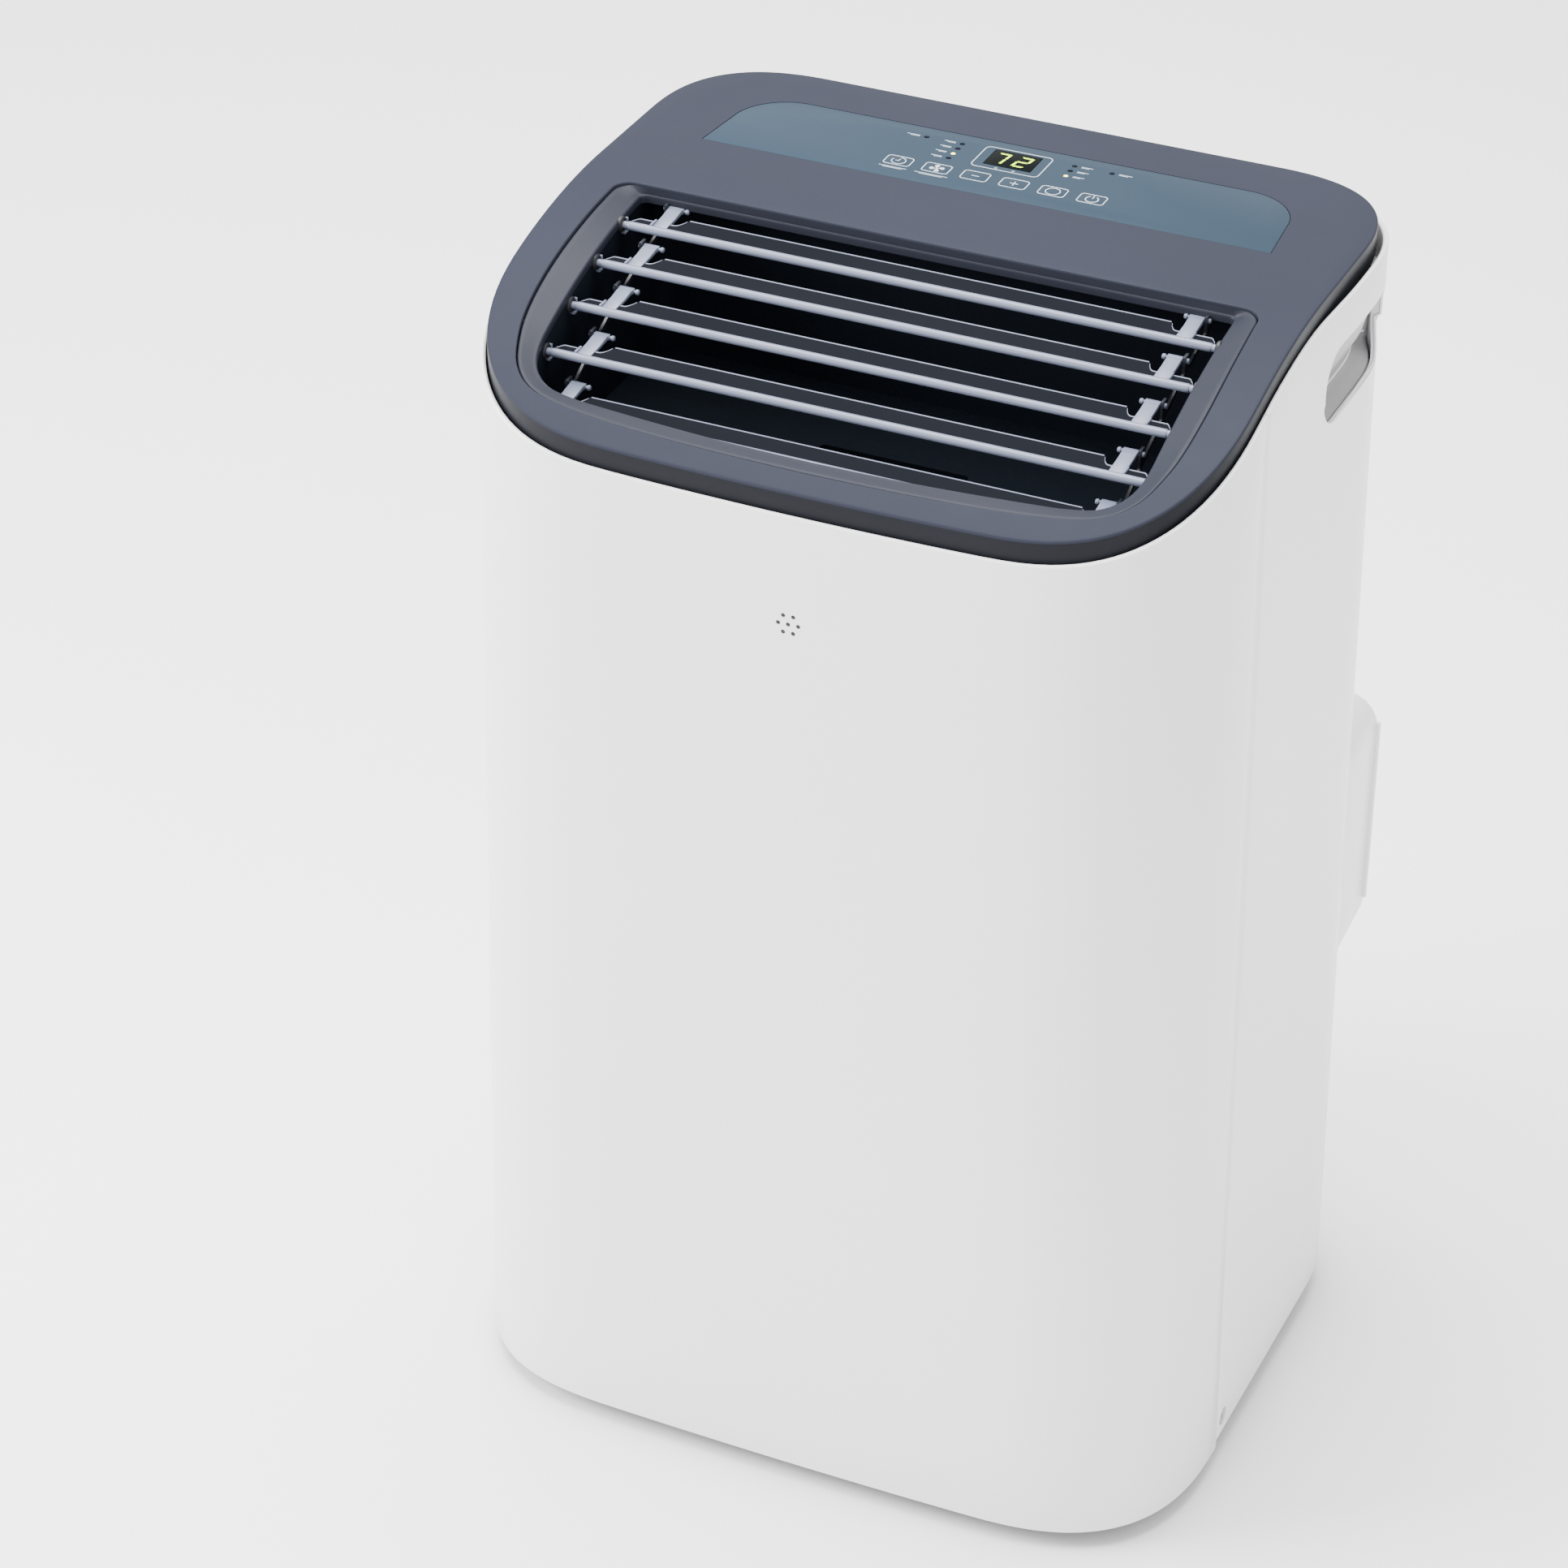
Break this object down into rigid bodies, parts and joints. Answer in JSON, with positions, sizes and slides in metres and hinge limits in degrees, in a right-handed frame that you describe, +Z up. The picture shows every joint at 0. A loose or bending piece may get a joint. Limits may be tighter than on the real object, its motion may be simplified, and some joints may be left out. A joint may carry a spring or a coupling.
{
  "type": "portable air conditioner",
  "caption": "White floor-standing air conditioner on swivel casters, with a curved dark top, a louvred outlet, a key panel with display, side hand grips and a rear exhaust housing.",
  "frame": {"origin": "on the floor, under the centre of the bounding box", "axes": "+Z up, +X to the right seen from the front, +Y to the back where the exhaust leaves"},
  "size_m": [0.44, 0.3884, 0.7002],
  "materials": {
    "shell_white": "satin white",
    "cover_grey": "satin",
    "panel_grey": "polished",
    "inner_dark": "matte",
    "blade_grey": "satin",
    "grip_grey": "matte",
    "black_plastic": "matte",
    "display_black": "polished",
    "steel": "plated",
    "compressor_black": "satin black enamel",
    "copper": "drawn copper",
    "fin_aluminium": "mill finish",
    "board_green": "solder mask",
    "rubber": "matte",
    "filter_mesh": "woven mesh in a frame"
  },
  "bodies": {
    "casing": {"accumulator": "compressor_black", "base_pan": "inner_dark", "compressor": "compressor_black", "condenser": "fin_aluminium", "control_board": "board_green", "cord_inlet": "black_plastic", "discharge_line": "copper", "display_window": "display_black", "drain_plug_lower": "rubber", "drain_plug_upper": "rubber", "drain_tray": "inner_dark", "electrical_box": "steel", "evaporator": "fin_aluminium", "exhaust_hood": "shell_white", "front_shell": "shell_white", "grip_cup_left": "grip_grey", "grip_cup_right": "grip_grey", "hose_collar": "shell_white", "key_panel": "panel_grey", "lamp_guide": "display_black", "lower_motor": "steel", "lower_scroll": "inner_dark", "mid_deck": "inner_dark", "outlet_frame": "cover_grey", "rear_shell": "shell_white", "run_capacitor": "fin_aluminium", "side_screw_left": "steel", "side_screw_right": "steel", "suction_line": "copper", "swing_motor": "steel", "top_cover": "cover_grey", "upper_motor": "steel", "upper_scroll": "inner_dark"},
    "upper_grille": {"upper_grille": "shell_white", "upper_filter": "filter_mesh"},
    "lower_grille": {"lower_grille": "shell_white", "lower_filter": "filter_mesh"},
    "key_timer": {"key_timer": "panel_grey"},
    "key_fan": {"key_fan": "panel_grey"},
    "key_down": {"key_down": "panel_grey"},
    "key_up": {"key_up": "panel_grey"},
    "key_mode": {"key_mode": "panel_grey"},
    "key_power": {"key_power": "panel_grey"},
    "louvre_1": {"louvre_1": "blade_grey"},
    "louvre_2": {"louvre_2": "blade_grey"},
    "louvre_3": {"louvre_3": "blade_grey"},
    "louvre_4": {"louvre_4": "blade_grey"},
    "louvre_5": {"louvre_5": "blade_grey"},
    "link_left": {"link_bar_left": "blade_grey"},
    "link_right": {"link_bar_right": "blade_grey"},
    "upper_wheel": {"upper_wheel": "black_plastic"},
    "lower_wheel": {"lower_wheel": "black_plastic"},
    "fork_front_right": {"caster_fork_front_right": "black_plastic"},
    "wheel_front_right": {"caster_wheel_front_right": "rubber"},
    "fork_front_left": {"caster_fork_front_left": "black_plastic"},
    "wheel_front_left": {"caster_wheel_front_left": "rubber"},
    "fork_rear_right": {"caster_fork_rear_right": "black_plastic"},
    "wheel_rear_right": {"caster_wheel_rear_right": "rubber"},
    "fork_rear_left": {"caster_fork_rear_left": "black_plastic"},
    "wheel_rear_left": {"caster_wheel_rear_left": "rubber"}
  },
  "joints": [
    {"name": "upper_grille_pull", "type": "slide", "parent": "casing", "child": "upper_grille", "axis": [0, 1, 0], "range_m": [0, 0.04]},
    {"name": "lower_grille_pull", "type": "slide", "parent": "casing", "child": "lower_grille", "axis": [0, 1, 0], "range_m": [0, 0.04]},
    {"name": "key_timer_press", "type": "slide", "parent": "casing", "child": "key_timer", "axis": [0, 0, -1], "range_m": [0, 0.0006], "stiffness_N_per_m": 400},
    {"name": "key_fan_press", "type": "slide", "parent": "casing", "child": "key_fan", "axis": [0, 0, -1], "range_m": [0, 0.0006], "stiffness_N_per_m": 400},
    {"name": "key_down_press", "type": "slide", "parent": "casing", "child": "key_down", "axis": [0, 0, -1], "range_m": [0, 0.0006], "stiffness_N_per_m": 400},
    {"name": "key_up_press", "type": "slide", "parent": "casing", "child": "key_up", "axis": [0, 0, -1], "range_m": [0, 0.0006], "stiffness_N_per_m": 400},
    {"name": "key_mode_press", "type": "slide", "parent": "casing", "child": "key_mode", "axis": [0, 0, -1], "range_m": [0, 0.0006], "stiffness_N_per_m": 400},
    {"name": "key_power_press", "type": "slide", "parent": "casing", "child": "key_power", "axis": [0, 0, -1], "range_m": [0, 0.0006], "stiffness_N_per_m": 400},
    {"name": "louvre_4_swing", "type": "hinge", "parent": "casing", "child": "louvre_4", "pos_m": [0, -0.13006, 0.65427], "axis": [1, 0, 0], "range_deg": [-55, 0]},
    {"name": "louvre_1_swing", "type": "hinge", "parent": "casing", "child": "louvre_1", "pos_m": [0, -0.03985, 0.68705], "axis": [1, 0, 0], "range_deg": [-55, 0]},
    {"name": "louvre_2_swing", "type": "hinge", "parent": "casing", "child": "louvre_2", "pos_m": [0, -0.07066, 0.67859], "axis": [1, 0, 0], "range_deg": [-55, 0]},
    {"name": "louvre_3_swing", "type": "hinge", "parent": "casing", "child": "louvre_3", "pos_m": [0, -0.10078, 0.66758], "axis": [1, 0, 0], "range_deg": [-55, 0]},
    {"name": "louvre_5_swing", "type": "hinge", "parent": "casing", "child": "louvre_5", "pos_m": [0, -0.15842, 0.63892], "axis": [1, 0, 0], "range_deg": [-55, 0]},
    {"name": "link_left_pivot", "type": "hinge", "parent": "louvre_4", "child": "link_left", "pos_m": [0, -0.10556, 0.65577], "axis": [1, 0, 0], "range_deg": [0, 55]},
    {"name": "link_right_pivot", "type": "hinge", "parent": "louvre_4", "child": "link_right", "pos_m": [0, -0.10556, 0.65577], "axis": [1, 0, 0], "range_deg": [0, 55]},
    {"name": "upper_wheel_spin", "type": "hinge", "parent": "casing", "child": "upper_wheel", "pos_m": [0, -0.06785, 0.494], "axis": [0, 1, 0], "continuous": true},
    {"name": "lower_wheel_spin", "type": "hinge", "parent": "casing", "child": "lower_wheel", "pos_m": [-0.055, 0.02415, 0.144], "axis": [0, 1, 0], "continuous": true},
    {"name": "fork_front_right_swivel", "type": "hinge", "parent": "casing", "child": "fork_front_right", "pos_m": [0.148, -0.12985, 0.019], "axis": [0, 0, 1], "continuous": true},
    {"name": "wheel_front_right_roll", "type": "hinge", "parent": "fork_front_right", "child": "wheel_front_right", "pos_m": [0.148, -0.11685, 0.019], "axis": [1, 0, 0], "continuous": true},
    {"name": "fork_front_left_swivel", "type": "hinge", "parent": "casing", "child": "fork_front_left", "pos_m": [-0.148, -0.12985, 0.019], "axis": [0, 0, 1], "continuous": true},
    {"name": "wheel_front_left_roll", "type": "hinge", "parent": "fork_front_left", "child": "wheel_front_left", "pos_m": [-0.148, -0.11685, 0.019], "axis": [1, 0, 0], "continuous": true},
    {"name": "fork_rear_right_swivel", "type": "hinge", "parent": "casing", "child": "fork_rear_right", "pos_m": [0.148, 0.09415, 0.019], "axis": [0, 0, 1], "continuous": true},
    {"name": "wheel_rear_right_roll", "type": "hinge", "parent": "fork_rear_right", "child": "wheel_rear_right", "pos_m": [0.148, 0.10715, 0.019], "axis": [1, 0, 0], "continuous": true},
    {"name": "fork_rear_left_swivel", "type": "hinge", "parent": "casing", "child": "fork_rear_left", "pos_m": [-0.148, 0.09415, 0.019], "axis": [0, 0, 1], "continuous": true},
    {"name": "wheel_rear_left_roll", "type": "hinge", "parent": "fork_rear_left", "child": "wheel_rear_left", "pos_m": [-0.148, 0.10715, 0.019], "axis": [1, 0, 0], "continuous": true}
  ],
  "couplings": [
    {"joint": "louvre_1_swing", "follows": "louvre_4_swing", "ratio": 1},
    {"joint": "louvre_2_swing", "follows": "louvre_4_swing", "ratio": 1},
    {"joint": "louvre_3_swing", "follows": "louvre_4_swing", "ratio": 1},
    {"joint": "louvre_5_swing", "follows": "louvre_4_swing", "ratio": 1},
    {"joint": "link_left_pivot", "follows": "louvre_4_swing", "ratio": -1},
    {"joint": "link_right_pivot", "follows": "louvre_4_swing", "ratio": -1}
  ]
}
